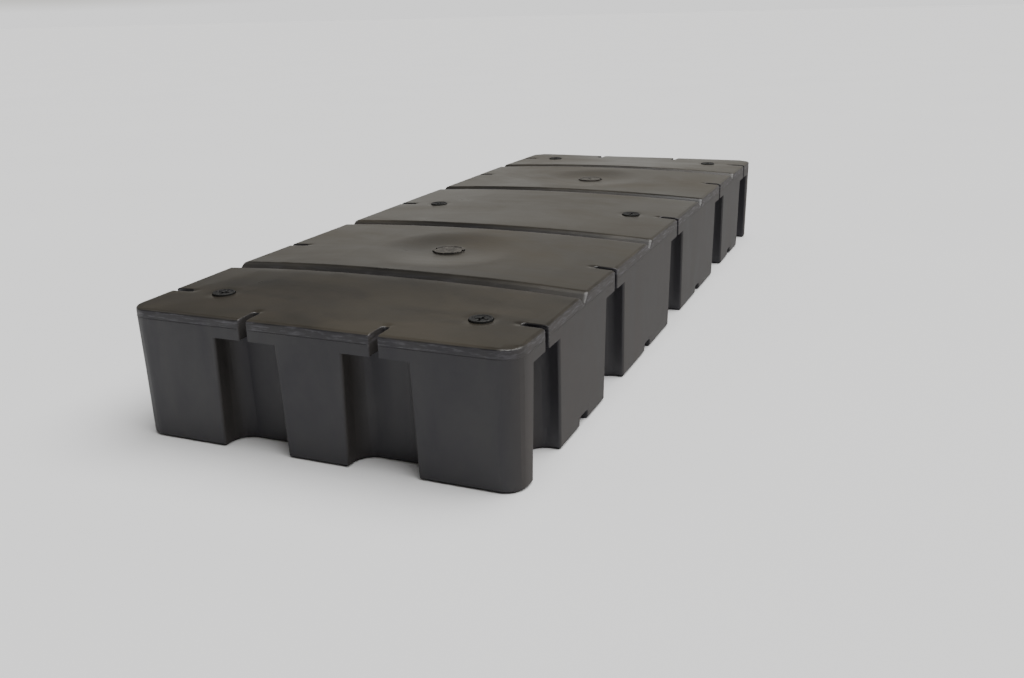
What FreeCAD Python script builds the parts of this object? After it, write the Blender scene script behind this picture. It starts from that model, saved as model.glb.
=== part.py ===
import FreeCAD, Part
import math
import os

import Sketcher
from FreeCAD import Vector

# Dock float drum: a rotationally moulded, foam-filled float with a flanged deck,
# closed by filler plugs and port caps. X runs across the float, Y along it, Z up.
# The origin is the middle of the underside. Lengths are in mm, angles in degrees.
SIZES = {
    # Overall form
    "float_length": 2438.0,
    "float_width": 914.0,
    "deck_edge_height": 300.0,
    "crown_rise": 13.0,
    "end_fall": 4.0,
    "plan_corner_radius": 50.0,
    "wall_draft": 0.6,
    "foot_edge_chamfer": 6.0,
    # Flanged band round the deck, with the mould's parting line along its middle
    "parting_drop": 25.5,
    "band_depth": 50.0,
    "band_draft": 1.0,
    "flash_proud": 0.8,
    "flash_thickness": 1.6,
    "deck_edge_chamfer": 2.2,
    # Bolt slots through the band: the inner ones are placed from the float's middle lines,
    # the outermost from its ends
    "inner_station": 610.0,
    "outer_inset": 152.0,
    "end_station": 154.0,
    "slot_width": 19.0,
    "slot_reach": 56.0,
    # Nut recesses below the slots
    "side_recess_width": 156.0,
    "end_recess_width": 162.0,
    "recess_reach": 65.0,
    "recess_corner_radius": 42.0,
    "recess_draft": 1.7,
    "recess_mouth_radius": 6.0,
    # Grooves across the deck and channels across the underside
    "groove_width": 50.0,
    "groove_depth": 23.0,
    "groove_root_radius": 4.0,
    "groove_lip_radius": 24.0,
    "channel_width": 55.0,
    "channel_depth": 24.0,
    "channel_corner_radius": 9.0,
    # Filler plugs near the corners and half-way along the long sides
    "plug_inset": 142.0,
    "plug_diameter": 49.0,
    "plug_head": 5.0,
    "plug_rim_width": 4.0,
    "plug_rim_rise": 1.2,
    "plug_stem_diameter": 38.0,
    "plug_stem_length": 20.0,
    "plug_slot_width": 6.0,
    "plug_slot_depth": 7.0,
    "plug_slot_length": 31.0,
    "plug_lead_in": 2.0,
    # Port caps on the middle line, each flush with the level floor of a shallow dish
    "port_station": 571.0,
    "port_dish_diameter": 170.0,
    "port_dish_depth": 6.0,
    "port_dish_floor": 100.0,
    "port_dish_radius": 60.0,
    "port_diameter": 80.0,
    "port_head": 6.0,
    "port_rim_width": 5.0,
    "port_rim_rise": 1.0,
    "port_stem_diameter": 66.0,
    "port_stem_length": 26.0,
    "port_boss_diameter": 12.0,
    "port_boss_rise": 1.2,
    "port_notch_width": 10.0,
    "port_notch_reach": 6.0,
    "port_notch_depth": 3.0,
    "port_lead_in": 3.0,
    # Clearances of plugs and caps in their seats
    "head_gap": 1.8,
    "stem_gap": 0.4,
    "bore_gap": 1.0,
}

# How far a cutting profile runs past the surface that it opens through, and how near
# an edge or face lies to what it is said to touch
OVERCUT = 12.0
CLOSE = 0.1

HALF_WIDTH = "sizes.float_width / 2"
HALF_LENGTH = "sizes.float_length / 2"

# Slot stations in the quarter of the float that the other three mirror
OUTER_STATION = f"({HALF_LENGTH} - sizes.outer_inset)"
SIDE_STATIONS = ("0", "sizes.inner_station", OUTER_STATION)
END_STATION = "sizes.end_station"

# Grooves and channels run half-way between neighbouring slot stations
OUTER_GROOVE = f"((sizes.inner_station + {OUTER_STATION}) / 2)"
GROOVE_STATIONS = ("sizes.inner_station / 2", OUTER_GROOVE)

PARTING_HEIGHT = "(sizes.deck_edge_height - sizes.parting_drop)"
CEILING_HEIGHT = "(sizes.deck_edge_height - sizes.band_depth)"
CREST_HEIGHT = "(sizes.deck_edge_height + sizes.crown_rise)"
CROWN_RADIUS = f"((({HALF_WIDTH}) ^ 2 + sizes.crown_rise ^ 2) / (2 * sizes.crown_rise))"
CROWN_AXIS_HEIGHT = f"({CREST_HEIGHT} - {CROWN_RADIUS})"
DECK_TOP = f"({CREST_HEIGHT} + sizes.crown_rise + {2 * OVERCUT})"

# The crown of the end panels fades from the outer groove to a level edge just past the end
END_EDGE_HEIGHT = "(sizes.deck_edge_height - sizes.end_fall)"
FADE_END = f"({HALF_LENGTH} + {OVERCUT})"

# Where the modelled quarter starts, before it is cut back to the planes of symmetry
ACROSS_START = f"-(sizes.port_diameter + {OVERCUT})"
ALONG_START = "-(sizes.side_recess_width)"


def deck_height(across):
    """Height of the crowned deck at a distance from the middle line."""
    return f"({CROWN_AXIS_HEIGHT} + sqrt({CROWN_RADIUS} ^ 2 - ({across}) ^ 2))"


def end_panel_height(across, along):
    """Height of an end panel, where the crown fades towards the end."""
    share = f"(({along} - {OUTER_GROOVE}) / ({FADE_END} - {OUTER_GROOVE}))"
    return f"({deck_height(across)} * (1 - {share}) + {END_EDGE_HEIGHT} * {share})"


# Filler plugs and port caps: places, and the heights of the seats under their heads
PLUG_OFFSET = f"({HALF_WIDTH} - sizes.plug_inset)"
END_PLUG_SEAT = f"({end_panel_height(PLUG_OFFSET, OUTER_STATION)} - sizes.plug_head)"
MIDDLE_PLUG_SEAT = f"({deck_height(PLUG_OFFSET)} - sizes.plug_head)"
DISH_FLOOR_HEIGHT = f"({CREST_HEIGHT} - sizes.port_dish_depth)"
PORT_SEAT = f"({DISH_FLOOR_HEIGHT} - sizes.port_head)"
PLUG_PLACES = [
    (f"{side} * {PLUG_OFFSET}", station, seat)
    for station, seat in (
        (f"-{OUTER_STATION}", END_PLUG_SEAT),
        ("0", MIDDLE_PLUG_SEAT),
        (OUTER_STATION, END_PLUG_SEAT),
    )
    for side in (-1, 1)
]
PORT_PLACES = [("0", f"{side} * sizes.port_station", PORT_SEAT) for side in (-1, 1)]

# Sketch numbering: the origin's geometry number, then those of an edge's vertices
ORIGIN, _, FIRST, LAST, CENTRE = range(-1, 4)

document = FreeCAD.newDocument("dock_float_drum")
sheet = document.addObject("Spreadsheet::Sheet", "sizes")
for row, (name, size) in enumerate(SIZES.items(), start=1):
    sheet.set(f"A{row}", name.replace("_", " "))
    sheet.set(f"B{row}", str(size))
    sheet.setAlias(f"B{row}", name)
document.recompute()


def value(expression):
    """Number that an expression of sheet cells gives."""
    return float(sheet.evalExpression(expression))


def origin_plane(body, role):
    """One of the three planes through a body's own origin."""
    return next(item for item in body.Origin.OriginFeatures if item.Role == role)


def new_sketch(body, name, role, height=None):
    """Sketch on one of the body's origin planes, raised to a height if one is given."""
    sketch = body.newObject("Sketcher::SketchObject", name)
    sketch.AttachmentSupport = (origin_plane(body, role), "")
    sketch.MapMode = "FlatFace"
    if height:
        sketch.setExpression("AttachmentOffset.Base.z", height)
    return sketch


def dimension(sketch, kind, ends, expression):
    """Dimension between vertices that follows the sheet."""
    index = sketch.addConstraint(Sketcher.Constraint(kind, *ends, value(expression)))
    sketch.setExpression(f"Constraints[{index}]", expression)


def locate(sketch, geometry, vertex, across, along):
    """Places one vertex by its two distances from the sketch's origin."""
    for kind, expression in (("DistanceX", across), ("DistanceY", along)):
        if value(expression) < 0:
            dimension(sketch, kind, (geometry, vertex, ORIGIN, FIRST), f"-({expression})")
        else:
            dimension(sketch, kind, (ORIGIN, FIRST, geometry, vertex), expression)


def arc_between(centre, radius, start, end):
    """Arc that runs anticlockwise about a centre from one point to another."""
    first = math.atan2(start.y - centre.y, start.x - centre.x)
    last = math.atan2(end.y - centre.y, end.x - centre.x)
    if last < first:
        last += 2 * math.pi
    return Part.ArcOfCircle(Part.Circle(centre, Vector(0, 0, 1), radius), first, last)


def add_outline(sketch, corners):
    """Closed outline through corners, each an (across, along, radius) of expressions.

    A corner whose radius is None stays sharp.
    """
    count = len(corners)
    points = [Vector(value(across), value(along), 0) for across, along, _ in corners]
    arrivals, departures, arcs = [], [], []
    for index, (_, _, rounding) in enumerate(corners):
        point = points[index]
        back = (points[index - 1] - point).normalize()
        ahead = (points[(index + 1) % count] - point).normalize()
        radius = value(rounding) if rounding else 0.0
        half_angle = back.getAngle(ahead) / 2
        setback = radius / math.tan(half_angle)
        arrive = point + back * setback
        depart = point + ahead * setback
        arrivals.append(arrive)
        departures.append(depart)
        if rounding:
            centre = point + (back + ahead).normalize() * (radius / math.sin(half_angle))
            left_turn = ahead.cross(back).z > 0
            ends = (arrive, depart) if left_turn else (depart, arrive)
            arcs.append((arc_between(centre, radius, *ends), left_turn))
        else:
            arcs.append(None)

    lines = []
    for index in range(count):
        line = Part.LineSegment(departures[index], arrivals[(index + 1) % count])
        lines.append(sketch.addGeometry(line))
    for index, (across, along, rounding) in enumerate(corners):
        line_in, line_out = lines[index - 1], lines[index]
        if rounding:
            curve, left_turn = arcs[index]
            arc = sketch.addGeometry(curve)
            corner = sketch.addGeometry(Part.Point(points[index]), True)
            first, last = (FIRST, LAST) if left_turn else (LAST, FIRST)
            sketch.addConstraint([
                Sketcher.Constraint("Tangent", line_in, LAST, arc, first),
                Sketcher.Constraint("Tangent", arc, last, line_out, FIRST),
                Sketcher.Constraint("PointOnObject", corner, FIRST, line_in),
                Sketcher.Constraint("PointOnObject", corner, FIRST, line_out),
            ])
            dimension(sketch, "Radius", (arc,), rounding)
            locate(sketch, corner, FIRST, across, along)
        else:
            sketch.addConstraint(Sketcher.Constraint("Coincident", line_in, LAST, line_out, FIRST))
            locate(sketch, line_out, FIRST, across, along)


def facing(face, outward, lateral):
    """Sketch position of a point given by its distances outward and along a side or an end."""
    return (outward, lateral) if face == "side" else (lateral, outward)


def add_open_slot(sketch, face, edge, station, reach, width):
    """Slot that opens through a face and ends in a half circle."""
    turn = 1 if face == "side" else -1
    radius = f"{width} / 2"
    outer = f"{edge} + {OVERCUT}"
    centre = facing(face, f"{edge} - {reach} + {radius}", station)
    corners = [facing(face, outer, f"{station} + {side * turn} * {radius}") for side in (1, -1)]
    tangents = [
        facing(face, f"{edge} - {reach} + {radius}", f"{station} + {side * turn} * {radius}")
        for side in (1, -1)
    ]
    start, end = [Vector(value(across), value(along), 0) for across, along in tangents]
    mouth_start, mouth_end = [Vector(value(across), value(along), 0) for across, along in corners]
    middle = Vector(value(centre[0]), value(centre[1]), 0)
    line_in = sketch.addGeometry(Part.LineSegment(mouth_start, start))
    arc = sketch.addGeometry(arc_between(middle, value(radius), start, end))
    line_out = sketch.addGeometry(Part.LineSegment(end, mouth_end))
    mouth = sketch.addGeometry(Part.LineSegment(mouth_end, mouth_start))
    sketch.addConstraint([
        Sketcher.Constraint("Tangent", line_in, LAST, arc, FIRST),
        Sketcher.Constraint("Tangent", arc, LAST, line_out, FIRST),
        Sketcher.Constraint("Coincident", line_out, LAST, mouth, FIRST),
        Sketcher.Constraint("Coincident", mouth, LAST, line_in, FIRST),
    ])
    dimension(sketch, "Radius", (arc,), radius)
    locate(sketch, arc, CENTRE, *centre)
    locate(sketch, mouth, LAST, *corners[0])
    locate(sketch, mouth, FIRST, *corners[1])


def add_circle(sketch, across, along, diameter):
    """Circle placed by its centre."""
    middle = Vector(value(across), value(along), 0)
    circle = sketch.addGeometry(Part.Circle(middle, Vector(0, 0, 1), value(diameter) / 2))
    dimension(sketch, "Diameter", (circle,), diameter)
    locate(sketch, circle, CENTRE, across, along)


def add_feature(body, kind, name, profile, **settings):
    """Feature made from a sketch; settings that are text follow the sheet."""
    before = body.Tip.Shape.Volume if body.Tip else 0.0
    feature = body.newObject(f"PartDesign::{kind}", name)
    feature.Profile = profile
    for setting, content in settings.items():
        if isinstance(content, str) and setting not in ("Type", "SideType"):
            feature.setExpression(setting, content)
        else:
            setattr(feature, setting, content)
    document.recompute()
    change = feature.Shape.Volume - before
    removes = kind in ("Pocket", "Groove", "SubtractiveLoft")
    if (change < 0) != removes or abs(change) < 1.0:
        raise ValueError(f"{name} changes the volume by {change:.1f}")
    return feature


def ease_edges(body, kind, name, size, wanted):
    """Fillet or chamfer on the edges of the body's last feature that pass a test."""
    base = body.Tip
    names = [f"Edge{number}" for number, edge in enumerate(base.Shape.Edges, start=1) if wanted(edge)]
    if not names:
        raise ValueError(f"{name} finds no edge")
    easing = body.newObject(f"PartDesign::{kind}", name)
    easing.Base = (base, names)
    easing.setExpression("Radius" if kind == "Fillet" else "Size", size)
    document.recompute()


def draft_walls(body, name, neutral, angle, outward):
    """Leans the walls that the last feature left upright, about a level plane."""
    base = body.Tip
    names = [
        f"Face{number}" for number, face in enumerate(base.Shape.Faces, start=1)
        if stands_upright(face) and not on_cut_face(face)
    ]
    draft = body.newObject("PartDesign::Draft", name)
    draft.Base = (base, names)
    draft.NeutralPlane = (neutral, [""])
    draft.Reversed = outward
    draft.setExpression("Angle", angle)
    document.recompute()


def stands_upright(face):
    """Whether a face's normal is level all over."""
    first, last, low, high = face.ParameterRange
    normals = [
        face.normalAt(first + share * (last - first), low + share * (high - low))
        for share in (0.1, 0.5, 0.9)
    ]
    return max(abs(normal.z) for normal in normals) < 0.0001


def on_cut_face(shape):
    """Whether an edge or face lies on one of the two faces that are cut back later."""
    box = shape.BoundBox
    return box.XMax < value(ACROSS_START) + CLOSE or box.YMax < value(ALONG_START) + CLOSE


def on_outer_wall(edge, draft):
    """Whether an edge lies on one of the drafted outer walls or the rounded corner between them."""
    slope = math.tan(math.radians(value(draft)))
    radius = value("sizes.plan_corner_radius")
    for share in (0.0, 0.5, 1.0):
        point = edge.valueAt(edge.FirstParameter + share * (edge.LastParameter - edge.FirstParameter))
        across = max(point.x - value(HALF_WIDTH) + radius, 0)
        along = max(point.y - value(HALF_LENGTH) + radius, 0)
        leaned = radius - slope * abs(point.z - value(PARTING_HEIGHT))
        if abs(math.hypot(across, along) - leaned) > CLOSE / 2:
            return False
    return True


def level_at(edge, height):
    """Whether an edge lies level at a height."""
    box = edge.BoundBox
    return abs(box.ZMin - height) < CLOSE / 10 and box.ZLength < CLOSE / 10


def upright(edge):
    """Whether an edge stands nearly vertical."""
    box = edge.BoundBox
    return box.ZLength > 5 * max(box.XLength, box.YLength)


def make_drum():
    """The moulded float: crowned deck, flanged band, recessed feet and grooves.

    One quarter is modelled, a little past the two planes of symmetry, cut back and mirrored.
    """
    body = document.addObject("PartDesign::Body", "float_drum")
    add_block(body)
    add_deck_form(body)
    add_recesses(body)
    add_flash(body)
    add_slots(body)
    add_channels(body)
    add_dishes(body)
    add_seats(body)
    trim_to_quarter(body)
    for name, role in (("other_side", "YZ_Plane"), ("other_end", "XZ_Plane")):
        mirror = body.newObject("PartDesign::Mirrored", name)
        mirror.TransformMode = "Whole shape"
        mirror.MirrorPlane = (origin_plane(body, role), [""])
        document.recompute()
        body.Tip = mirror


def add_block(body):
    """Two halves that lean in, down and up, from the mould's parting line."""
    outline = new_sketch(body, "quarter_outline", "XY_Plane", PARTING_HEIGHT)
    add_quarter(outline, HALF_WIDTH, HALF_LENGTH, "sizes.plan_corner_radius")
    parting = body.newObject("PartDesign::Plane", "parting_plane")
    parting.AttachmentSupport = (origin_plane(body, "XY_Plane"), "")
    parting.MapMode = "FlatFace"
    parting.setExpression("AttachmentOffset.Base.z", PARTING_HEIGHT)
    add_feature(body, "Pad", "lower_half", outline, Reversed=True, Length=PARTING_HEIGHT)
    draft_walls(body, "lower_draft", parting, "sizes.wall_draft", outward=True)
    add_feature(body, "Pad", "upper_half", outline,
                Length=f"{CREST_HEIGHT} - {PARTING_HEIGHT} + {OVERCUT}")
    draft_walls(body, "upper_draft", parting, "sizes.band_draft", outward=False)


def add_quarter(sketch, half_width, half_length, radius):
    """Plan of one quarter with its rounded corner."""
    add_outline(sketch, [
        (ACROSS_START, ALONG_START, None),
        (half_width, ALONG_START, None),
        (half_width, half_length, radius),
        (ACROSS_START, half_length, None),
    ])


def add_deck_form(body):
    """Crowned panels and the grooves between them, turned about one long axis below the deck."""
    start, end = f"{ALONG_START} - {OVERCUT}", f"{HALF_LENGTH} + {OVERCUT}"
    corners = [(end, DECK_TOP, None), (start, DECK_TOP, None), (start, CREST_HEIGHT, None)]
    for station in GROOVE_STATIONS:
        corners += [
            (f"{station} - sizes.groove_width / 2", CREST_HEIGHT, "sizes.groove_lip_radius"),
            (station, f"{CREST_HEIGHT} - sizes.groove_depth", "sizes.groove_root_radius"),
            (f"{station} + sizes.groove_width / 2", CREST_HEIGHT, "sizes.groove_lip_radius"),
        ]
    corners.append((end, CREST_HEIGHT, None))
    profile = new_sketch(body, "deck_profile", "YZ_Plane")
    add_outline(profile, corners)
    height = value(CROWN_AXIS_HEIGHT)
    axis = profile.addGeometry(
        Part.LineSegment(Vector(-OVERCUT, height, 0), Vector(OVERCUT, height, 0)), True)
    locate(profile, axis, FIRST, f"-{OVERCUT}", CROWN_AXIS_HEIGHT)
    locate(profile, axis, LAST, f"{OVERCUT}", CROWN_AXIS_HEIGHT)
    add_feature(body, "Groove", "deck_form", profile,
                ReferenceAxis=(profile, ["Axis0"]), Midplane=True,
                Angle=f"2 * asin(({HALF_WIDTH} + {OVERCUT}) / {CROWN_RADIUS})")
    fade_crown(body)

    ease_edges(body, "Chamfer", "end_deck_edge", "sizes.deck_edge_chamfer",
               lambda edge: round_deck(edge) and past_grooves(edge))
    ease_edges(body, "Chamfer", "side_deck_edge", "sizes.deck_edge_chamfer",
               lambda edge: round_deck(edge) and not past_grooves(edge))


def round_deck(edge):
    """Whether an edge is one where the deck meets the outer wall."""
    above = edge.BoundBox.ZMin > value(PARTING_HEIGHT) + CLOSE
    return above and not upright(edge) and on_outer_wall(edge, "sizes.band_draft")


def past_grooves(edge):
    """Whether an edge reaches out along the end panel."""
    return edge.BoundBox.YMax > value(f"{OUTER_GROOVE} + sizes.groove_width")


def fade_crown(body):
    """Lofted cut that takes the end panel from the crown at the outer groove to a level edge."""
    crowned = new_sketch(body, "fade_start", "XZ_Plane", f"-{OUTER_GROOVE}")
    add_fade_section(crowned, deck_height, CROWN_RADIUS)
    level = new_sketch(body, "fade_end", "XZ_Plane", f"-{FADE_END}")
    add_fade_section(level, lambda across: END_EDGE_HEIGHT)
    add_feature(body, "SubtractiveLoft", "end_fade", crowned, Sections=[level], Ruled=True)


def add_fade_section(sketch, floor_height, radius=None):
    """Outline over the deck whose floor is level or, with a radius, an arc of the crown."""
    near, far = ACROSS_START, f"{HALF_WIDTH} + {OVERCUT}"
    corners = [(far, floor_height(far)), (far, DECK_TOP), (near, DECK_TOP), (near, floor_height(near))]
    points = [Vector(value(across), value(height), 0) for across, height in corners]
    sides = [sketch.addGeometry(Part.LineSegment(*ends)) for ends in zip(points, points[1:])]
    if radius:
        crown_axis = Vector(0, value(CROWN_AXIS_HEIGHT), 0)
        floor = sketch.addGeometry(arc_between(crown_axis, value(radius), points[0], points[-1]))
    else:
        floor = sketch.addGeometry(Part.LineSegment(points[0], points[-1]))
    sketch.addConstraint([
        Sketcher.Constraint("Coincident", sides[0], LAST, sides[1], FIRST),
        Sketcher.Constraint("Coincident", sides[1], LAST, sides[2], FIRST),
        Sketcher.Constraint("Coincident", floor, FIRST, sides[0], FIRST),
        Sketcher.Constraint("Coincident", floor, LAST, sides[2], LAST),
    ])
    for side, corner in zip(sides, corners):
        locate(sketch, side, FIRST, *corner)
    locate(sketch, sides[2], LAST, *corners[-1])
    if radius:
        dimension(sketch, "Radius", (floor,), radius)


def add_recesses(body):
    """Recesses under the slots, from the underside up to the band, wider at the bottom."""
    sides = new_sketch(body, "side_recess_plan", "XY_Plane")
    ends = new_sketch(body, "end_recess_plan", "XY_Plane")
    for station in SIDE_STATIONS:
        add_recess_plan(sides, "side", HALF_WIDTH, station, "sizes.side_recess_width")
    add_recess_plan(ends, "end", HALF_LENGTH, END_STATION, "sizes.end_recess_width")
    for name, plan in (("side_recesses", sides), ("end_recess", ends)):
        add_feature(body, "Pocket", name, plan, Reversed=True, Length=CEILING_HEIGHT)
    draft_walls(body, "recess_draft", origin_plane(body, "XY_Plane"), "sizes.recess_draft",
                outward=True)

    def under_feet(edge):
        return level_at(edge, 0) and not on_cut_face(edge)

    def at_mouth(edge):
        box = edge.BoundBox
        beside_recess = box.ZMin > CLOSE and box.ZMax < value(CEILING_HEIGHT) + CLOSE
        return beside_recess and upright(edge) and on_outer_wall(edge, "sizes.wall_draft")

    ease_edges(body, "Chamfer", "foot_edges", "sizes.foot_edge_chamfer", under_feet)
    ease_edges(body, "Fillet", "recess_mouths", "sizes.recess_mouth_radius", at_mouth)


def add_recess_plan(sketch, face, edge, station, width):
    """Plan of one recess, open past the face, with rounded back corners."""
    outer = f"{edge} + {2 * OVERCUT}"
    back = f"{edge} - sizes.recess_reach"
    start, end = f"{station} - {width} / 2", f"{station} + {width} / 2"
    add_outline(sketch, [
        (*facing(face, outer, start), None),
        (*facing(face, outer, end), None),
        (*facing(face, back, end), "sizes.recess_corner_radius"),
        (*facing(face, back, start), "sizes.recess_corner_radius"),
    ])


def add_flash(body):
    """Thin line of flash left round the band where the mould halves part."""
    rim = new_sketch(body, "flash_outline", "XY_Plane", PARTING_HEIGHT)
    add_quarter(rim, f"{HALF_WIDTH} + sizes.flash_proud", f"{HALF_LENGTH} + sizes.flash_proud",
                "sizes.plan_corner_radius + sizes.flash_proud")
    add_feature(body, "Pad", "flash", rim, SideType="Symmetric", Length="sizes.flash_thickness")


def add_slots(body):
    """Bolt slots up through the band, open at the outer wall."""
    plan = new_sketch(body, "slot_plan", "XY_Plane", CEILING_HEIGHT)
    for station in SIDE_STATIONS:
        add_open_slot(plan, "side", HALF_WIDTH, station, "sizes.slot_reach", "sizes.slot_width")
    add_open_slot(plan, "end", HALF_LENGTH, END_STATION, "sizes.slot_reach", "sizes.slot_width")
    add_feature(body, "Pocket", "slots", plan, Reversed=True,
                Length=f"{CREST_HEIGHT} - {CEILING_HEIGHT} + {OVERCUT}")


def add_channels(body):
    """Channels across the underside, in line with the deck's grooves."""
    profile = new_sketch(body, "channel_profile", "YZ_Plane")
    for station in GROOVE_STATIONS:
        near, far = f"{station} - sizes.channel_width / 2", f"{station} + sizes.channel_width / 2"
        add_outline(profile, [
            (near, f"-{OVERCUT}", None),
            (far, f"-{OVERCUT}", None),
            (far, "sizes.channel_depth", "sizes.channel_corner_radius"),
            (near, "sizes.channel_depth", "sizes.channel_corner_radius"),
        ])
    add_feature(body, "Pocket", "channels", profile, SideType="Symmetric",
                Length=f"sizes.float_width + {OVERCUT}")


def add_dishes(body):
    """Shallow turned dishes in the deck round the port caps."""
    for number, (_, along, _) in enumerate(PORT_PLACES, start=1):
        if value(along) < 0:
            continue
        profile = new_sketch(body, "port_dish_profile", "XZ_Plane", f"-({along})")
        edge, floor = "sizes.port_dish_diameter / 2", "sizes.port_dish_floor / 2"
        add_outline(profile, [
            ("0", DISH_FLOOR_HEIGHT, None),
            (floor, DISH_FLOOR_HEIGHT, "sizes.port_dish_radius"),
            (edge, CREST_HEIGHT, None),
            (edge, DECK_TOP, None),
            ("0", DECK_TOP, None),
        ])
        add_feature(body, "Groove", f"port_dish_{number}", profile,
                    ReferenceAxis=(profile, ["V_Axis"]), Angle=360)


def add_seats(body):
    """Stepped seats for the filler plugs and the port caps."""
    for kind, places in (("plug", PLUG_PLACES), ("port", PORT_PLACES)):
        in_quarter = [item for item in places if value(item[0]) >= 0 and value(item[1]) >= 0]
        for number, (across, along, seat) in enumerate(in_quarter, start=1):
            recess = new_sketch(body, f"{kind}_seat_plan_{number}", "XY_Plane", seat)
            bore = new_sketch(body, f"{kind}_bore_plan_{number}", "XY_Plane", seat)
            add_circle(recess, across, along, f"sizes.{kind}_diameter + 2 * sizes.head_gap")
            add_circle(bore, across, along, f"sizes.{kind}_stem_diameter + 2 * sizes.stem_gap")
            add_feature(body, "Pocket", f"{kind}_seat_{number}", recess, Reversed=True,
                        Length=f"sizes.{kind}_head + {OVERCUT}")
            add_feature(body, "Pocket", f"{kind}_bore_{number}", bore,
                        Length=f"sizes.{kind}_stem_length + sizes.bore_gap")


def trim_to_quarter(body):
    """Cuts back what runs on past the planes that the float is mirrored in."""
    waste = new_sketch(body, "trim_outline", "XY_Plane")
    wide, long = f"{HALF_WIDTH} + {OVERCUT}", f"{HALF_LENGTH} + {OVERCUT}"
    left, near = f"{ACROSS_START} - {OVERCUT}", f"{ALONG_START} - {OVERCUT}"
    add_outline(waste, [
        (left, near, None),
        (wide, near, None),
        (wide, "0", None),
        ("0", "0", None),
        ("0", long, None),
        (left, long, None),
    ])
    add_feature(body, "Pocket", "quarter_trim", waste, Type="ThroughAll", SideType="Symmetric")


def add_turned_form(body, kind, boss=()):
    """Head and stem of a plug or cap, turned about its own axis; the seat is at height zero."""
    head, rim = f"sizes.{kind}_head", f"sizes.{kind}_head + sizes.{kind}_rim_rise"
    edge, inner = f"sizes.{kind}_diameter / 2", f"sizes.{kind}_diameter / 2 - sizes.{kind}_rim_width"
    stem, foot = f"sizes.{kind}_stem_diameter / 2", f"-sizes.{kind}_stem_length"
    lead_in = f"sizes.{kind}_lead_in"
    profile = new_sketch(body, f"{kind}_profile", "XZ_Plane")
    corners = [
        ("0", foot),
        (f"{stem} - {lead_in}", foot),
        (stem, f"{foot} + {lead_in}"),
        (stem, "0"),
        (edge, "0"),
        (edge, rim),
        (inner, rim),
        (inner, head),
        *boss,
    ]
    if not boss:
        corners.append(("0", head))
    add_outline(profile, [(across, height, None) for across, height in corners])
    add_feature(body, "Revolution", f"{kind}_form", profile, ReferenceAxis=(profile, ["V_Axis"]),
                Angle=360)


def make_plug(name, across, along, seat):
    """Filler plug: disc head with a raised rim and a cross slot, on a plain stem."""
    body = document.addObject("PartDesign::Body", name)
    add_turned_form(body, "plug")
    cross = new_sketch(body, "cross_slot_plan", "XY_Plane", "sizes.plug_head")
    half, arm = "sizes.plug_slot_width / 2", "sizes.plug_slot_length / 2"
    corners = []
    for turn in range(4):
        for first, second in ((arm, f"-{half}"), (arm, half), (half, half)):
            for _ in range(turn):
                first, second = f"-({second})", first
            corners.append((first, second, None))
    add_outline(cross, corners)
    add_feature(body, "Pocket", "cross_slot", cross, Length="sizes.plug_slot_depth")
    place(body, across, along, seat)


def make_cap(name, across, along, seat):
    """Port cap: flush disc with a rim bead, a centre boss and two pry notches, on a plain stem."""
    body = document.addObject("PartDesign::Body", name)
    boss, rise = "sizes.port_boss_diameter / 2", "sizes.port_head + sizes.port_boss_rise"
    add_turned_form(body, "port", boss=[(boss, "sizes.port_head"), (boss, rise), ("0", rise)])
    notches = new_sketch(body, "pry_notch_plan", "XY_Plane", "sizes.port_head + sizes.port_rim_rise")
    half = "sizes.port_notch_width / 2"
    for side in (1, -1):
        outer = f"{side} * (sizes.port_diameter / 2 + sizes.port_notch_reach)"
        inner = f"{side} * (sizes.port_diameter / 2 - sizes.port_notch_reach)"
        add_outline(notches, [
            (outer, f"{-side} * {half}", None),
            (outer, f"{side} * {half}", None),
            (inner, f"{side} * {half}", None),
            (inner, f"{-side} * {half}", None),
        ])
    add_feature(body, "Pocket", "pry_notches", notches,
                Length="sizes.port_rim_rise + sizes.port_notch_depth")
    place(body, across, along, seat)


def place(body, across, along, height):
    """Sets a plug or cap on its seat."""
    for axis, expression in (("x", across), ("y", along), ("z", height)):
        body.setExpression(f"Placement.Base.{axis}", expression)


make_drum()
for number, (across, along, seat) in enumerate(PLUG_PLACES, start=1):
    make_plug(f"filler_plug_{number}", across, along, seat)
for number, (across, along, seat) in enumerate(PORT_PLACES, start=1):
    make_cap(f"port_cap_{number}", across, along, seat)
document.recompute()

failed = [item.Name for item in document.Objects if {"Invalid", "Error"} & set(item.State)]
if failed:
    raise ValueError(f"objects in error: {', '.join(failed)}")
pieces = [item for item in document.Objects if item.TypeId == "PartDesign::Body"]
for piece in pieces:
    if piece.Shape.isNull() or not piece.Shape.isValid() or len(piece.Shape.Solids) != 1:
        raise ValueError(f"{piece.Label} is not one valid solid")

os.makedirs("parts", exist_ok=True)
for piece in pieces:
    piece.Shape.exportStep(f"parts/{piece.Label}.step")
    print(f"{piece.Label}: {piece.Shape.Volume / 1000:.1f} cm3")
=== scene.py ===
import bmesh
import bpy
import math
from mathutils import Matrix, Vector, noise


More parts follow.
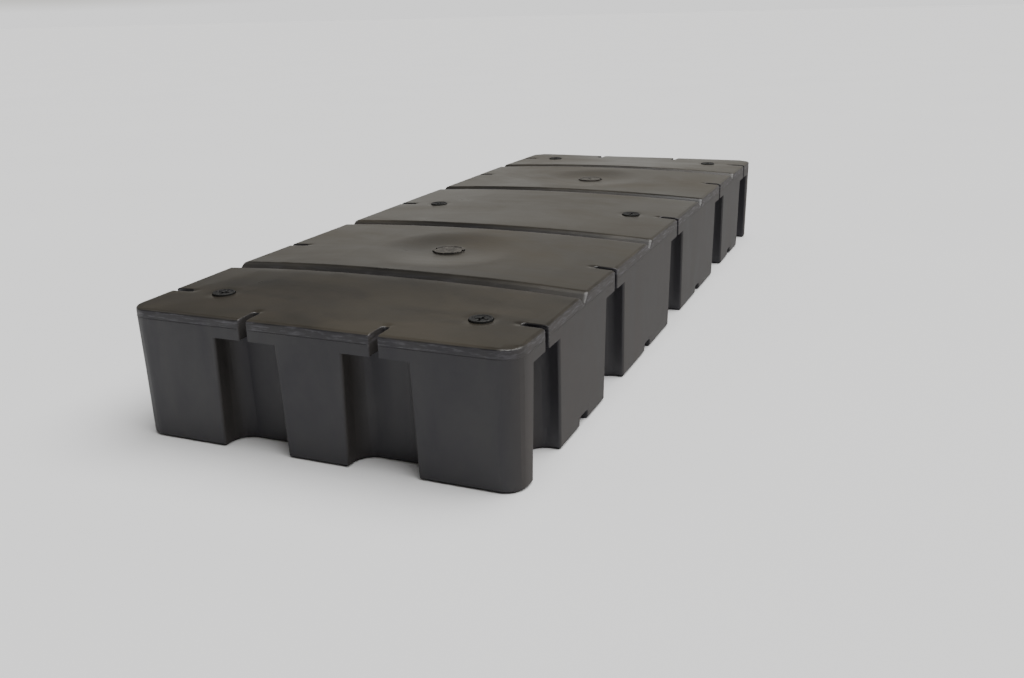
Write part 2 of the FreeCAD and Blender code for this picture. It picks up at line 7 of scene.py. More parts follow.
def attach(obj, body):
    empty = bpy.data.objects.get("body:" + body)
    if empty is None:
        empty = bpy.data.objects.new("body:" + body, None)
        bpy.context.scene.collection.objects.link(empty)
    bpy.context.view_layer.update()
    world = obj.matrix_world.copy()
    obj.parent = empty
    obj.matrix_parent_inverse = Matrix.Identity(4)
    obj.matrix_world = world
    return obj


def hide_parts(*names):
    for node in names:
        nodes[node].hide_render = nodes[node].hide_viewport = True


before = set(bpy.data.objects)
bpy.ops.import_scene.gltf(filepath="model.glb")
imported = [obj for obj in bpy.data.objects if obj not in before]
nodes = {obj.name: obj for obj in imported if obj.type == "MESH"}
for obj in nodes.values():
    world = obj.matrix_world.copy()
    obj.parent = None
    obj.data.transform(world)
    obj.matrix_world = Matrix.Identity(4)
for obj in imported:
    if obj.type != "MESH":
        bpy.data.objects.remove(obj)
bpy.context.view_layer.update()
scene = bpy.context.scene
print("frame loaded:", len(nodes), "pieces")

mm = 0.001

# where the float's own features lie, seen from its middle
drum = {
    "halfWidth": 457 * mm, "halfLength": 1219 * mm, "cornerRadius": 50 * mm,
    "partingHeight": 274.5 * mm, "deckEdge": 296 * mm, "crest": 313 * mm,
    "crownRadius": 8040 * mm,
    "slotReach": 56 * mm, "slotWidth": 19 * mm,
    "sideSlots": [-1067 * mm, -610 * mm, 0.0, 610 * mm, 1067 * mm],
    "endSlots": [-154 * mm, 154 * mm],
    "grooves": [-1219 * mm, -838.5 * mm, -305 * mm, 305 * mm, 838.5 * mm, 1219 * mm],
    "ports": [(0.0, -571 * mm), (0.0, 571 * mm)], "portSeat": 41.8 * mm, "dishDepth": 6 * mm,
    "plugs": [(x * mm, y * mm) for y in (-1067, 0, 1067) for x in (-315, 315)],
    "plugSeat": 26.3 * mm,
}
seats = [(port, drum["portSeat"]) for port in drum["ports"]]
seats += [(plug, drum["plugSeat"]) for plug in drum["plugs"]]


# hex colours as a colour picker shows them, turned to what the shaders expect
def linear(hexColour):
    channels = [int(hexColour[i:i + 2], 16) / 255 for i in (1, 3, 5)]
    return [c / 12.92 if c <= 0.04045 else ((c + 0.055) / 1.055) ** 2.4 for c in channels] + [1.0]


# adds one node: inputs are given in order, by name, or by number as i6, and a node that is
# given as an input is linked from its first output; other names are the node's own settings
def addNode(tree, kind, *ordered, **named):
    node = tree.nodes.new(kind)
    inputs = dict(enumerate(ordered))
    for name, content in named.items():
        if name in node.bl_rna.properties:
            setattr(node, name, content)
        else:
            inputs[int(name[1:]) if name[1:].isdigit() else name.replace("_", " ")] = content
    for place, content in inputs.items():
        if isinstance(content, bpy.types.Node):
            content = content.outputs[0]
        if isinstance(content, bpy.types.NodeSocket):
            tree.links.new(content, node.inputs[place])
        else:
            node.inputs[place].default_value = content
    return node


def newMaterial(name):
    material = bpy.data.materials.new(name)
    material.use_nodes = True
    material.node_tree.nodes.clear()
    return material


# lays colours over one another, each where it belongs and as strongly as its pattern says
def layColours(tree, colour, layers):
    for where, pattern, steps, layer in layers:
        strength = addNode(tree, "ShaderNodeMapRange", pattern, *steps)
        share = addNode(tree, "ShaderNodeMath", where, strength, operation="MULTIPLY")
        colour = addNode(tree, "ShaderNodeMix", data_type="RGBA", i0=share, i6=colour,
                         i7=layer).outputs[2]
    return colour


# black polyethylene, rotationally moulded against blasted aluminium: a satin skin that
# mirrors a bright room softly at low angles, with a brownish haze of handling dust that is
# wiped in streaks across the deck, pale corners that are partly rubbed and partly a painted
# highlight, and dust runs on the walls coloured as painted light by the way each wall faces
moulded = {
    # the wall dust colours carry painted light: lighter, warmer long sides; darker, bluer ends
    "blackest": "#131211", "black": "#1b1a19", "haze": "#4d4639", "endDustAndPaintedShade": "#201e29",
    "sideDustAndPaintedSheen": "#403b39", "scuff": "#69676e", "roundedEdge": "#5c5a5a",
    "ior": 1.51,                                     # polyethylene's own
    # each pattern by its real size; a stretched one takes its size from the stretch above it
    "streakStretch": (1 / (800 * mm), 1 / (280 * mm), 1 / (167 * mm)),
    "streakTurn": (0, 0, 0.22),
    "streaks": {"Scale": 1.0, "Detail": 7.0, "Roughness": 0.7, "Distortion": 1.6},
    "patches": {"Scale": 1 / (420 * mm), "Detail": 3.0},
    "runStretch": (1 / (110 * mm), 1 / (110 * mm), 1 / (380 * mm)),
    "runs": {"Scale": 1.0, "Detail": 6.0, "Roughness": 0.68, "Distortion": 0.5},
    "scuffStretch": (1 / (45 * mm), 1 / (45 * mm), 1 / (5 * mm)),
    "scuffs": {"Scale": 1.0, "Detail": 5.0, "Roughness": 0.7},
    "scratchStretch": (1 / (60 * mm), 1 / (60 * mm), 1 / (2.2 * mm)),
    "scratches": {"Scale": 1.0, "Detail": 2.0, "Roughness": 0.6},
    "nicks": {"Scale": 1 / (11 * mm), "Detail": 4.0, "Roughness": 0.7},
    "mottle": {"Scale": 1 / (38 * mm), "Detail": 5.0, "Roughness": 0.6},
    "orangePeel": {"Scale": 1 / (7 * mm), "Detail": 2.0},
    # blasting grit is far finer than this, which is drawn coarse enough to show
    "grain": {"Scale": 1 / (2.4 * mm), "Detail": 2.0, "Roughness": 0.6},
    "mottleDepth": 0.12 * mm, "orangePeelDepth": 0.04 * mm, "grainDepth": 0.015 * mm,
    "scratchDepth": 0.015 * mm,
    # each set of steps is the low and high that it reads, then the two that it turns them to
    "deckSteps": (0.4, 0.85, 0.0, 1.0), "offDeckSteps": (0.0, 1.0, 1.0, 0.0),
    "bandSteps": (drum["partingHeight"] + 1 * mm, drum["partingHeight"] + 3 * mm, 0.0, 1.0),
    "bodySteps": (0.3, 0.7, 0.0, 1.0), "hazeSteps": (0.14, 0.38, 0.02, 0.48),
    "runSteps": (0.32, 0.72, 0.2, 0.72), "scuffSteps": (0.5, 0.75, 0.0, 0.6),
    "edgeWearAndHighlightSteps": (0.55, 0.72, 0.0, 0.7),
    "deckRoughness": (0.12, 0.42, 0.26, 0.42), "endRoughness": (0.3, 0.7, 0.4, 0.64),
    "sideRoughness": (0.3, 0.7, 0.7, 0.86),
}


def mouldedPolyethylene():
    m = moulded
    material = newMaterial("rotomouldedBlackPolyethylene")
    tree = material.node_tree
    surface = addNode(tree, "ShaderNodeNewGeometry")
    place, facing = surface.outputs["Position"], surface.outputs["Normal"]
    way = addNode(tree, "ShaderNodeSeparateXYZ", facing)
    level = addNode(tree, "ShaderNodeSeparateXYZ", place).outputs["Z"]
    onDeck = addNode(tree, "ShaderNodeMapRange", way.outputs["Z"], *m["deckSteps"])
    offDeck = addNode(tree, "ShaderNodeMapRange", onDeck, *m["offDeckSteps"])
    onSide = addNode(tree, "ShaderNodeMath", way.outputs["X"], way.outputs["X"],
                     operation="MULTIPLY")
    aboveParting = addNode(tree, "ShaderNodeMapRange", level, *m["bandSteps"])
    onBand = addNode(tree, "ShaderNodeMath", offDeck, aboveParting, operation="MULTIPLY")
    # the rounded corners, whose pale colour is partly wear and partly a painted highlight
    corner = addNode(tree, "ShaderNodeAttribute", attribute_name="roundedEdge").outputs["Fac"]

    # wiped streaks lie long across the deck; on the walls they run down
    across = addNode(tree, "ShaderNodeMapping", place, Scale=m["streakStretch"],
                     Rotation=m["streakTurn"])
    streaks = addNode(tree, "ShaderNodeTexNoise", across, **m["streaks"])
    patches = addNode(tree, "ShaderNodeTexNoise", place, **m["patches"])
    smoke = addNode(tree, "ShaderNodeMath", streaks, patches, operation="MULTIPLY")
    down = addNode(tree, "ShaderNodeMapping", place, Scale=m["runStretch"])
    runs = addNode(tree, "ShaderNodeTexNoise", down, **m["runs"])

    # the band above the parting line is scuffed along its length, and the corners are nicked;
    # their pale colour is partly wear and partly a painted highlight
    along = addNode(tree, "ShaderNodeMapping", place, Scale=m["scuffStretch"])
    scuffs = addNode(tree, "ShaderNodeTexNoise", along, **m["scuffs"])
    nicks = addNode(tree, "ShaderNodeTexNoise", place, **m["nicks"])

    mottle = addNode(tree, "ShaderNodeTexNoise", place, **m["mottle"])
    bodyShare = addNode(tree, "ShaderNodeMapRange", mottle, *m["bodySteps"])
    body = addNode(tree, "ShaderNodeMix", data_type="RGBA", i0=bodyShare,
                   i6=linear(m["blackest"]), i7=linear(m["black"])).outputs[2]
    # painted light by facing: wall dust runs lighter and warmer on the long sides, darker on ends
    wallDustAndPaintedLight = addNode(tree, "ShaderNodeMix", data_type="RGBA", i0=onSide,
                       i6=linear(m["endDustAndPaintedShade"]), i7=linear(m["sideDustAndPaintedSheen"])).outputs[2]
    colour = layColours(tree, body, (
        (onDeck, smoke, m["hazeSteps"], linear(m["haze"])),
        (offDeck, runs, m["runSteps"], wallDustAndPaintedLight),
        (onBand, scuffs, m["scuffSteps"], linear(m["scuff"])),
        (corner, nicks, m["edgeWearAndHighlightSteps"], linear(m["roundedEdge"])),
    ))

    deckRoughness = addNode(tree, "ShaderNodeMapRange", smoke, *m["deckRoughness"])
    endRoughness = addNode(tree, "ShaderNodeMapRange", runs, *m["endRoughness"])
    sideRoughness = addNode(tree, "ShaderNodeMapRange", runs, *m["sideRoughness"])
    wallRoughness = addNode(tree, "ShaderNodeMix", data_type="FLOAT", i0=onSide,
                            i2=endRoughness, i3=sideRoughness)
    roughness = addNode(tree, "ShaderNodeMix", data_type="FLOAT", i0=onDeck,
                        i2=wallRoughness, i3=deckRoughness)

    peel = addNode(tree, "ShaderNodeTexNoise", place, **m["orangePeel"])
    grain = addNode(tree, "ShaderNodeTexNoise", place, **m["grain"])
    dragged = addNode(tree, "ShaderNodeMapping", place, Scale=m["scratchStretch"])
    scratches = addNode(tree, "ShaderNodeTexNoise", dragged, **m["scratches"])
    normal = facing
    for height, depth in ((mottle, m["mottleDepth"]), (peel, m["orangePeelDepth"]),
                          (grain, m["grainDepth"]), (scratches, m["scratchDepth"])):
        normal = addNode(tree, "ShaderNodeBump", Distance=depth, Height=height, Normal=normal)

    shader = addNode(tree, "ShaderNodeBsdfPrincipled", Base_Color=colour, Roughness=roughness,
                     IOR=m["ior"], Normal=normal)
    addNode(tree, "ShaderNodeOutputMaterial", Surface=shader)
    return material


# injection moulded polyethylene: blacker and duller than the float, rubbed on its rim
plugStuff = {
    "black": "#0f0f0f", "worn": "#55534f", "ior": 1.51,
    "wear": {"Scale": 1 / (5 * mm), "Detail": 4.0, "Roughness": 0.65},
    "pits": {"Scale": 1 / (1.6 * mm), "Detail": 2.0}, "pitDepth": 0.05 * mm,
    "wornSteps": (0.5, 0.62, 0.0, 0.8), "roughness": (0.3, 0.7, 0.55, 0.75),
}


def mouldedPlugPolyethylene():
    m = plugStuff
    material = newMaterial("injectionMouldedPolyethylene")
    tree = material.node_tree
    place = addNode(tree, "ShaderNodeNewGeometry").outputs["Position"]
    corner = addNode(tree, "ShaderNodeAttribute", attribute_name="roundedEdge").outputs["Fac"]
    wear = addNode(tree, "ShaderNodeTexNoise", place, **m["wear"])
    colour = layColours(tree, linear(m["black"]),
                        [(corner, wear, m["wornSteps"], linear(m["worn"]))])
    roughness = addNode(tree, "ShaderNodeMapRange", wear, *m["roughness"])
    pits = addNode(tree, "ShaderNodeTexNoise", place, **m["pits"])
    bump = addNode(tree, "ShaderNodeBump", Distance=m["pitDepth"], Height=pits)
    shader = addNode(tree, "ShaderNodeBsdfPrincipled", Base_Color=colour, Roughness=roughness,
                     IOR=m["ior"], Normal=bump)
    addNode(tree, "ShaderNodeOutputMaterial", Surface=shader)
    return material


# polyethylene disc welded in by spinning: dull, stippled by its mould, with a melted ring;
# its stipple dots carry a painted glint
capStuff = {
    "black": "#1a1918", "dust": "#45413b", "paintedStippleGlint": "#7d7871", "worn": "#5f5b55", "ior": 1.51,
    "stipple": {"Scale": 1 / (4.2 * mm)}, "stippleDepth": 0.3 * mm, "stippleStrength": 0.8,
    "patches": {"Scale": 1 / (22 * mm), "Detail": 3.0},
    "dotSteps": (0.1, 0.6, 1.0, 0.0), "topSteps": (0.7, 0.95, 0.0, 1.0),
    "dustSteps": (0.35, 0.65, 0.25, 0.75), "paintedStippleGlintSteps": (0.35, 0.6, 0.1, 0.75),
    "wornSteps": (0.4, 0.6, 0.1, 0.9), "roughness": (0.3, 0.7, 0.4, 0.58),
}


def spunCapPolyethylene():
    m = capStuff
    material = newMaterial("stippledBlackPolyethylene")
    tree = material.node_tree
    surface = addNode(tree, "ShaderNodeNewGeometry")
    place = surface.outputs["Position"]
    up = addNode(tree, "ShaderNodeSeparateXYZ", surface.outputs["Normal"]).outputs["Z"]
    onTop = addNode(tree, "ShaderNodeMapRange", up, *m["topSteps"])
    corner = addNode(tree, "ShaderNodeAttribute", attribute_name="roundedEdge").outputs["Fac"]
    # the stipple dots' tops take a pale colour, a painted glint
    cells = addNode(tree, "ShaderNodeTexVoronoi", place, **m["stipple"])
    dots = addNode(tree, "ShaderNodeMapRange", cells, *m["dotSteps"])
    patches = addNode(tree, "ShaderNodeTexNoise", place, **m["patches"])
    colour = layColours(tree, linear(m["black"]), (
        (onTop, patches, m["dustSteps"], linear(m["dust"])),
        (dots, patches, m["paintedStippleGlintSteps"], linear(m["paintedStippleGlint"])),
        (corner, patches, m["wornSteps"], linear(m["worn"])),
    ))
    roughness = addNode(tree, "ShaderNodeMapRange", patches, *m["roughness"])
    bump = addNode(tree, "ShaderNodeBump", Strength=m["stippleStrength"],
                   Distance=m["stippleDepth"], Height=dots)
    shader = addNode(tree, "ShaderNodeBsdfPrincipled", Base_Color=colour, Roughness=roughness,
                     IOR=m["ior"], Normal=bump)
    addNode(tree, "ShaderNodeOutputMaterial", Surface=shader)
    return material


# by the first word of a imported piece's name
finishes = {"float": mouldedPolyethylene(), "filler": mouldedPlugPolyethylene(),
            "port": spunCapPolyethylene()}
for name, node in nodes.items():
    node.data.materials.clear()
    node.data.materials.append(finishes[name.split("_")[0]])
print("materials set")


def smoothStep(low, high, at):
    share = min(max((at - low) / (high - low), 0.0), 1.0)
    return share * share * (3 - 2 * share)


def wave(place, length, seed):
    return 0.5 + 0.5 * noise.noise(place / length + Vector((seed, 2.3 * seed, 0)))


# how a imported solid's triangles become one skin: what is welded, what counts as flat, in
# degrees, and how much of a short edge beside a corner its rounding may take
skin = {"weld": 0.02 * mm, "sliver": 0.05 * mm, "flat": 0.4, "beside": 130, "most": 0.42}


def weldedMesh(node):
    mesh = bmesh.new()
    mesh.from_mesh(node.data)
    bmesh.ops.remove_doubles(mesh, verts=mesh.verts, dist=skin["weld"])
    return mesh


def mergeFlats(mesh):
    bmesh.ops.dissolve_degenerate(mesh, edges=mesh.edges, dist=skin["sliver"])
    bmesh.ops.dissolve_limit(mesh, angle_limit=math.radians(skin["flat"]), verts=mesh.verts,
                             edges=mesh.edges)


# rounds the outward corners, less where two lie close, and gives the new faces a second
# material slot so that they can be told apart
def roundCorners(mesh, name, form, tight=lambda edge: None):
    radius = form["radius"]
    weight = mesh.edges.layers.float.new("bevel_weight_edge")
    for edge in mesh.edges:
        if not edge.is_convex or edge.calc_face_angle(0.0) < math.radians(form["roundFrom"]):
            continue
        room = tight(edge) or radius
        for loop in edge.link_loops:
            following = loop.link_loop_next
            for beside, corner in ((loop.link_loop_prev.edge, loop), (following.edge, following)):
                if corner.calc_angle() < math.radians(skin["beside"]):
                    room = min(room, skin["most"] * beside.calc_length())
        edge[weight] = room / radius
    data = bpy.data.meshes.new(name)
    mesh.to_mesh(data)
    mesh.free()
    for _ in range(2):
        data.materials.append(None)
    piece = bpy.data.objects.new(name, data)
    scene.collection.objects.link(piece)
    bevel = piece.modifiers.new("rounding", "BEVEL")
    bevel.limit_method, bevel.width, bevel.segments = "WEIGHT", radius, form["steps"]
    bevel.use_clamp_overlap = bevel.loop_slide = False
    bevel.material = 1
    rounded = bpy.data.meshes.new_from_object(
        piece.evaluated_get(bpy.context.evaluated_depsgraph_get()))
    piece.modifiers.clear()
    piece.data = rounded
    return piece


# turns the second slot, the rounded corners, into a colour attribute for their pale colour
# (wear, and on the float partly a painted highlight), shades smooth and sets the finish
def finishPiece(piece, mesh, material, sharpFrom, *replaced):
    data = piece.data
    for edge in mesh.edges:
        edge.smooth = edge.calc_face_angle(0.0) < math.radians(sharpFrom)
    mesh.to_mesh(data)
    mesh.free()
    data.shade_smooth()
    data.update()
    roundedEdge = data.attributes.new("roundedEdge", "FLOAT_COLOR", "CORNER")
    shades = []
    for polygon in data.polygons:
        share = float(polygon.material_index == 1)
        shades += [share, share, share, 1.0] * polygon.loop_total
        polygon.material_index = 0
    roundedEdge.data.foreach_set("color", shades)
    data.materials.clear()
    data.materials.append(material)
    weighted = piece.modifiers.new("flatFacesLead", "WEIGHTED_NORMAL")
    weighted.keep_sharp = True
    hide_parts(*replaced)
    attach(piece, "root")


# how the mould rounds the float, the cells that its skin is cut into, and the hollows that a
# thick wall draws as it cools
shell = {
    "roundFrom": 70, "radius": 2.6 * mm, "seatRadius": 0.8 * mm, "seatLip": 2 * mm,
    "steps": 3, "sharpFrom": 50,
    "cell": 32 * mm, "wallCell": 45 * mm, "rimCuts": [4.5 * mm, 7 * mm, 10 * mm, 14 * mm],
    "portCuts": (200 * mm, 9.8 * mm), "plugCuts": (49 * mm, 7 * mm),     # reach and cell
    "slotCuts": (21 * mm, 3.5 * mm),
    "deckDepth": 20 * mm, "upward": 0.7,             # what counts as the deck when it is cut
    "deckHollow": 1.4 * mm, "deckWave": (330 * mm, 3), "sag": 2.0 * mm,  # length and seed
    "wallHollow": 1.3 * mm, "wallWave": (190 * mm, 7),
    "ripple": 0.3 * mm, "deckRipple": (80 * mm, 5), "wallRipple": (80 * mm, 9),
    "deckFade": (14 * mm, 4 * mm), "wallFade": (32 * mm, 5 * mm),
    "roll": 2.2 * mm, "rollWidth": 12 * mm,
    "plugDish": (0.9 * mm, 9 * mm), "slotSink": (1.8 * mm, 9 * mm),      # depth and width
    "slotTip": 3 * mm, "seatFloor": 1.5 * mm,
    "dishSlope": (46 * mm, 190 * mm), "dishFade": (192 * mm, 210 * mm), "dishBelow": 12 * mm,
    "flashBand": 1 * mm, "flashLeast": 0.3 * mm, "flashWeld": 0.08 * mm,
}

# the inner ends of the bolt slots
tip = drum["slotReach"] + shell["slotTip"]
slotTips = [(side * (drum["halfWidth"] - tip), y) for side in (-1, 1) for y in drum["sideSlots"]]
slotTips += [(x, side * (drum["halfLength"] - tip)) for side in (-1, 1) for x in drum["endSlots"]]


# cuts faces along planes across one axis
def cutAlong(mesh, faces, axis, places):
    normal = Vector((axis == 0, axis == 1, axis == 2))
    for place in places:
        parts = dict.fromkeys(part for face in faces if face.is_valid
                              for part in (face, *face.edges, *face.verts))
        made = bmesh.ops.bisect_plane(mesh, geom=list(parts), dist=1e-6,
                                      plane_co=normal * place, plane_no=normal)
        faces = [item for item in made["geom"] if isinstance(item, bmesh.types.BMFace)]


def deckFaces(mesh):
    lowest = drum["deckEdge"] - shell["deckDepth"]
    return [face for face in mesh.faces
            if face.normal.z > shell["upward"] and face.calc_center_bounds().z > lowest]


# cuts the deck finer around one place
def cutFiner(mesh, centre, reach, cell):
    count = int(reach / cell)
    near = reach + shell["cell"] / 2
    for axis in (0, 1):
        faces = []
        for face in deckFaces(mesh):
            middle = face.calc_center_bounds()
            if abs(middle.x - centre[0]) < near and abs(middle.y - centre[1]) < near:
                faces.append(face)
        cutAlong(mesh, faces, axis,
                 [centre[axis] + step * cell for step in range(-count, count + 1)])


# how far a point lies outside the plan outline, and which way is outward there
def planDistance(x, y):
    across = max(abs(x) - drum["halfWidth"] + drum["cornerRadius"], 0.0)
    along = max(abs(y) - drum["halfLength"] + drum["cornerRadius"], 0.0)
    reach = math.hypot(across, along)
    outward = Vector((math.copysign(across, x), math.copysign(along, y), 0)) / max(reach, 1e-9)
    return reach - drum["cornerRadius"], outward


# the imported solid's thin flash is taken off here and laid on again as its own uneven bead
def clearFlash(mesh):
    for vertex in mesh.verts:
        distance, outward = planDistance(vertex.co.x, vertex.co.y)
        if abs(vertex.co.z - drum["partingHeight"]) < shell["flashBand"] \
                and distance > shell["flashLeast"]:
            vertex.co -= outward * distance
    bmesh.ops.remove_doubles(mesh, verts=mesh.verts, dist=shell["flashWeld"])


# the seats are trimmed by a cutter, so their edges stay tighter
def seatEdge(edge):
    middle = (edge.verts[0].co + edge.verts[1].co) / 2
    for (x, y), seat in seats:
        if math.hypot(middle.x - x, middle.y - y) < seat + shell["seatLip"]:
            return shell["seatRadius"]


# lets the crowned deck run into each port's dish without a crease
def easeDishes(mesh):
    for vertex in mesh.verts:
        for x, y in drum["ports"]:
            away = math.hypot(vertex.co.x - x, vertex.co.y - y)
            if drum["portSeat"] + shell["seatLip"] < away < shell["dishFade"][1] \
                    and vertex.co.z > drum["crest"] - shell["dishBelow"]:
                level = drum["crest"] - vertex.co.x ** 2 / 2 / drum["crownRadius"]
                target = level - drum["dishDepth"] * (1 - smoothStep(*shell["dishSlope"], away))
                vertex.co.z += (target - vertex.co.z) * (1 - smoothStep(*shell["dishFade"], away))


# 1 in the middle of a deck panel, 0 at its grooves, the ends and the sides
def panelSag(place):
    grooves = drum["grooves"]
    for near, far in zip(grooves, grooves[1:]):
        if near < place.y < far:
            along = (place.y - near) / (far - near)
            across = min(abs(place.x) / drum["halfWidth"], 1.0)
            return math.sin(math.pi * along) ** 2 * (1 - across ** 2) ** 2
    return 0.0


# moves a point of the skin inward, by hollows on the deck and on the walls; a seat's floor stays
def settle(place):
    fadeLow, fadeHigh = (drum["deckEdge"] - depth for depth in shell["deckFade"])
    deck = smoothStep(fadeLow, fadeHigh, place.z)
    distance, outward = planDistance(place.x, place.y)
    if any(math.hypot(place.x - x, place.y - y) - seat < -shell["seatFloor"]
           for (x, y), seat in seats):
        deck = 0.0
    drop = shell["deckHollow"] * wave(place, *shell["deckWave"]) \
        + shell["ripple"] * wave(place, *shell["deckRipple"]) + shell["sag"] * panelSag(place)
    for centres, seat, (depth, width) in ((drum["plugs"], drum["plugSeat"], shell["plugDish"]),
                                          (slotTips, 0.0, shell["slotSink"])):
        for x, y in centres:
            away = math.hypot(place.x - x, place.y - y) - seat
            drop += depth * math.exp(-(away / width) ** 2)
    drop += shell["roll"] * smoothStep(-shell["rollWidth"], 0, distance) ** 2
    wall = smoothStep(-shell["wallFade"][0], -shell["wallFade"][1], distance)
    draw = shell["wallHollow"] * wave(place, *shell["wallWave"]) \
        + shell["ripple"] * wave(place, *shell["wallRipple"])
    return place - Vector((0, 0, deck * drop)) - outward * (wall * draw)


def makeFloat():
    mesh = weldedMesh(nodes["float_drum"])
    clearFlash(mesh)
    mergeFlats(mesh)
    piece = roundCorners(mesh, "floatShell", shell, seatEdge)
    mesh = bmesh.new()
    mesh.from_mesh(piece.data)
    for axis, half in ((0, drum["halfWidth"]), (1, drum["halfLength"])):
        count = int(half / shell["cell"])
        cutAlong(mesh, mesh.faces[:], axis,
                 [step * shell["cell"] for step in range(-count, count + 1)])
        cutAlong(mesh, deckFaces(mesh), axis,
                 [side * (half - inset) for side in (-1, 1) for inset in shell["rimCuts"]])
    count = int(drum["partingHeight"] / shell["wallCell"])
    cutAlong(mesh, mesh.faces[:], 2, [step * shell["wallCell"] for step in range(1, count)])
    for centres, cuts in ((drum["ports"], "portCuts"), (drum["plugs"], "plugCuts"),
                          (slotTips, "slotCuts")):
        for centre in centres:
            cutFiner(mesh, centre, *shell[cuts])
    print("float cut into", len(mesh.faces), "faces")
    easeDishes(mesh)
    for vertex in mesh.verts:
        vertex.co = settle(vertex.co)
    bmesh.ops.triangulate(mesh, faces=[face for face in mesh.faces if len(face.verts) > 4])
    finishPiece(piece, mesh, finishes["float"], shell["sharpFrom"], "float_drum")


makeFloat()
print("float made")


# the bead of flash where the mould's halves part: (outward, up) from the parting line in
# millimetres, then 1 for the outer points, which swell with what leaked out there
flash = {
    "section": [(-1.2, 1.3, 0), (0.02, 1.1, 0), (0.75, 0.35, 1), (0.75, -0.45, 1),
                (0.1, -0.7, 0), (-1.2, -0.8, 0)],
    "step": 7 * mm, "cornerSteps": 12, "slotRoom": 1.2 * mm, "least": 0.35, "endLeak": 0.2,
    "raggedness": (55 * mm, 11), "sharpFrom": 40,
}


# plan points all round the float, broken into runs at the bolt slots
def flashRuns():
    width, length = drum["halfWidth"], drum["halfLength"]
    radius, cornerSteps = drum["cornerRadius"], flash["cornerSteps"]
    gap = drum["slotWidth"] / 2 + shell["radius"] + flash["slotRoom"]
    trail = []
    for turn, (reach, half) in enumerate(((length, width), (width, length)) * 2):
        outwardTurn = turn * math.pi / 2
        out = Vector((math.cos(outwardTurn), math.sin(outwardTurn), 0))
        along = Vector((-out.y, out.x, 0))
        stations = drum["sideSlots"] if turn % 2 == 0 else drum["endSlots"]
        straight = reach - radius
        steps = int(straight * 2 / flash["step"])
        for index in range(steps + 1):
            at = -straight + straight * 2 * index / steps
            atSlot = any(abs(at - station) < gap for station in stations)
            trail.append(None if atSlot else out * half + along * at)
        centre = out * (half - radius) + along * straight
        for index in range(1, cornerSteps):
            angle = outwardTurn + math.pi / 2 * index / cornerSteps
            trail.append(centre + Vector((math.cos(angle), math.sin(angle), 0)) * radius)
    first = trail.index(None)
    runs, run = [], []
    for point in trail[first:] + trail[:first + 1]:
        if point is not None:
            run.append(point)
        elif run:
            runs.append(run)
            run = []
    return runs


def makeFlash():
    mesh = bmesh.new()
    for run in flashRuns():
        rings = []
        for index, point in enumerate(run):
            point = point + Vector((0, 0, drum["partingHeight"]))
            outward = planDistance(point.x, point.y)[1]
            leak = flash["least"] + (1 - flash["least"]) * wave(point, *flash["raggedness"])
            if index in (0, len(run) - 1):
                leak = flash["endLeak"]
            ring = []
            for out, up, scaled in flash["section"]:
                out = out * leak if scaled else out
                ring.append(mesh.verts.new(settle(point + outward * out * mm)
                                           + Vector((0, 0, up * mm))))
            rings.append(ring)
        for first, second in zip(rings, rings[1:]):
            for k in range(len(first)):
                n = (k + 1) % len(first)
                mesh.faces.new((first[k], second[k], second[n], first[n]))
        mesh.faces.new(rings[0])
        mesh.faces.new(reversed(rings[-1]))
    bmesh.ops.recalc_face_normals(mesh, faces=mesh.faces)
    data = bpy.data.meshes.new("partingFlash")
    piece = bpy.data.objects.new("partingFlash", data)
    scene.collection.objects.link(piece)
    finishPiece(piece, mesh, finishes["float"], flash["sharpFrom"])


makeFlash()
print("flash made")


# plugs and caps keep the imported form, with their corners broken as moulding leaves them
trim = {
    "plug": {"radius": 0.8 * mm, "steps": 2, "roundFrom": 50, "sharpFrom": 45},
    "cap": {"radius": 0.7 * mm, "steps": 2, "roundFrom": 50, "sharpFrom": 45},
}


def makeTrim():
    for name in sorted(nodes):
        if name == "float_drum":
            continue
        first, kind, number = name.split("_")
        mesh = weldedMesh(nodes[name])
        mergeFlats(mesh)
        piece = roundCorners(mesh, kind + "Head" + number, trim[kind])
        mesh = bmesh.new()
        mesh.from_mesh(piece.data)
        finishPiece(piece, mesh, finishes[first], trim[kind]["sharpFrom"], name)


makeTrim()
print("plugs and caps made")


# a pale floor under one broad soft light overhead; the sky is white at the horizon and
# falls off above it, which the deck mirrors from dark near to pale far
studio = {
    "floorLow": "#f1f1f1", "floor": "#f3f3f3", "floorSize": 400.0, "floorRoughness": 0.9,
    "floorCloud": {"Scale": 1 / (1200 * mm), "Detail": 2.0}, "floorSteps": (0.3, 0.7, 0.0, 1.0),
    "sky": [(0.0, "#ececec"), (0.02, "#ececec"), (0.05, "#b6b4ae"), (0.16, "#b6b3ac"),
            (0.23, "#bebbb3"), (0.3, "#88857f"), (0.4, "#403e3c"), (0.85, "#353535"),
            (1.0, "#909090")],
    "leftSteps": (-0.72, -0.5, 2.0, 1.0),       # the bright wall behind ends to the float's left
    "skyStrength": 1.4,
    "lampPower": 4.3, "lampSpread": 60, "lampFrom": (0.37, 0.14, 1.0),
}


# rolled floor paint, matt and even, so that it carries the soft shadow and no mirror image
def paleFloorPaint():
    material = newMaterial("paleFloorPaint")
    tree = material.node_tree
    place = addNode(tree, "ShaderNodeNewGeometry").outputs["Position"]
    cloud = addNode(tree, "ShaderNodeTexNoise", place, **studio["floorCloud"])
    share = addNode(tree, "ShaderNodeMapRange", cloud, *studio["floorSteps"])
    colour = addNode(tree, "ShaderNodeMix", data_type="RGBA", i0=share,
                     i6=linear(studio["floorLow"]), i7=linear(studio["floor"])).outputs[2]
    shader = addNode(tree, "ShaderNodeBsdfPrincipled", Base_Color=colour,
                     Roughness=studio["floorRoughness"])
    addNode(tree, "ShaderNodeOutputMaterial", Surface=shader)
    return material


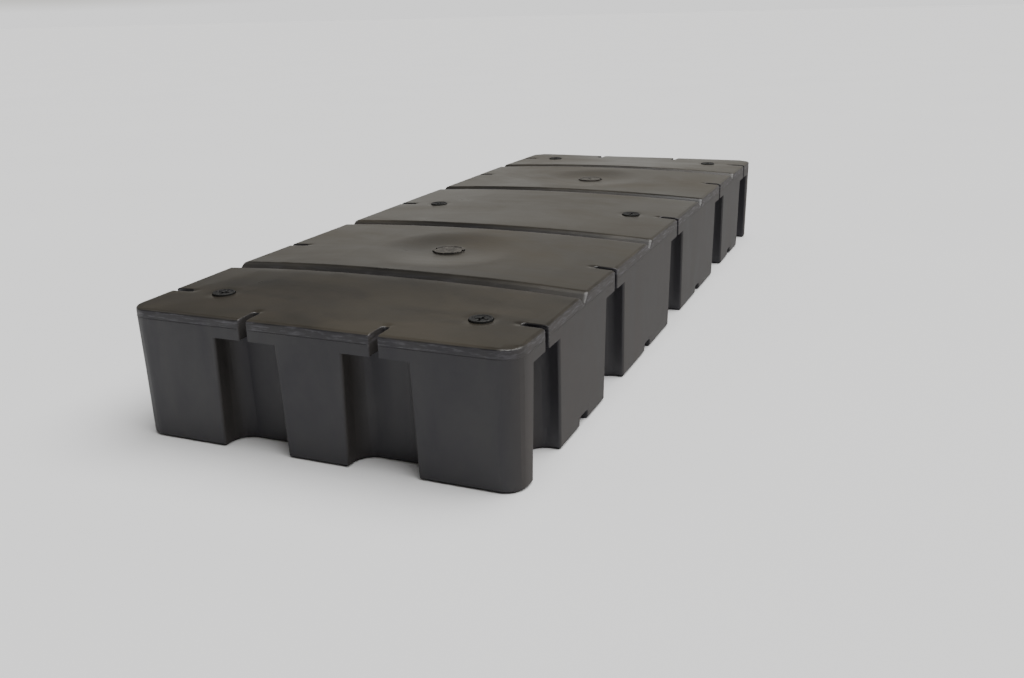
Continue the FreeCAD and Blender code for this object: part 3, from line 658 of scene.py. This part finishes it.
def makeFloor():
    mesh = bpy.data.meshes.new("studioFloor")
    half = studio["floorSize"] / 2
    mesh.from_pydata([(-half, -half, 0), (half, -half, 0), (half, half, 0), (-half, half, 0)], [],
                     [(0, 1, 2, 3)])
    floor = bpy.data.objects.new("studioFloor", mesh)
    scene.collection.objects.link(floor)
    floor.data.materials.append(paleFloorPaint())


def makeSky():
    world = bpy.data.worlds.new("studioSky")
    world.use_nodes = True
    scene.world = world
    tree = world.node_tree
    ray = addNode(tree, "ShaderNodeTexCoord").outputs["Generated"]
    way = addNode(tree, "ShaderNodeSeparateXYZ", ray)
    lift = addNode(tree, "ShaderNodeMapRange", way.outputs["X"], *studio["leftSteps"])
    height = addNode(tree, "ShaderNodeMath", way.outputs["Z"], lift, operation="MULTIPLY")
    ramp = addNode(tree, "ShaderNodeValToRGB", height)
    elements = ramp.color_ramp.elements
    for index, (position, hexColour) in enumerate(studio["sky"]):
        element = elements[index] if index < 2 else elements.new(position)
        element.position, element.color = position, linear(hexColour)
    background = tree.nodes["Background"]
    tree.links.new(ramp.outputs["Color"], background.inputs["Color"])
    background.inputs["Strength"].default_value = studio["skyStrength"]


def makeLamp():
    light = bpy.data.lights.new("overheadLight", "SUN")
    light.energy = studio["lampPower"]
    light.angle = math.radians(studio["lampSpread"])
    lamp = bpy.data.objects.new("overheadLight", light)
    lamp.rotation_euler = (-Vector(studio["lampFrom"])).to_track_quat("-Z", "Y").to_euler()
    scene.collection.objects.link(lamp)


makeFloor()
makeSky()
makeLamp()
print("studio set")


# measured from the photo: 979.9 px focal length at 1024 px across, seen from the near right
view = {"place": (1.1035, -2.7578, 0.8777), "yaw": 23.14, "pitch": 18.45, "roll": -1.47,
        "focalPixels": 979.9, "imageWidth": 1024, "sensorWidth": 36}


def makeCamera():
    yaw, pitch, roll = (math.radians(view[k]) for k in ("yaw", "pitch", "roll"))
    ahead = Vector((-math.sin(yaw) * math.cos(pitch), math.cos(yaw) * math.cos(pitch),
                    -math.sin(pitch)))
    right = ahead.cross(Vector((0, 0, 1))).normalized()
    above = right.cross(ahead)
    turnedRight = math.cos(roll) * right + math.sin(roll) * above
    turnedUp = -math.sin(roll) * right + math.cos(roll) * above
    camera = bpy.data.objects.new("photoCamera", bpy.data.cameras.new("photoCamera"))
    camera.data.sensor_width = view["sensorWidth"]
    camera.data.sensor_fit = "HORIZONTAL"
    camera.data.lens = view["focalPixels"] / view["imageWidth"] * view["sensorWidth"]
    axes = Matrix((turnedRight, turnedUp, -ahead)).transposed()
    camera.matrix_world = Matrix.Translation(view["place"]) @ axes.to_4x4()
    scene.collection.objects.link(camera)
    scene.camera = camera


makeCamera()
print("camera set")
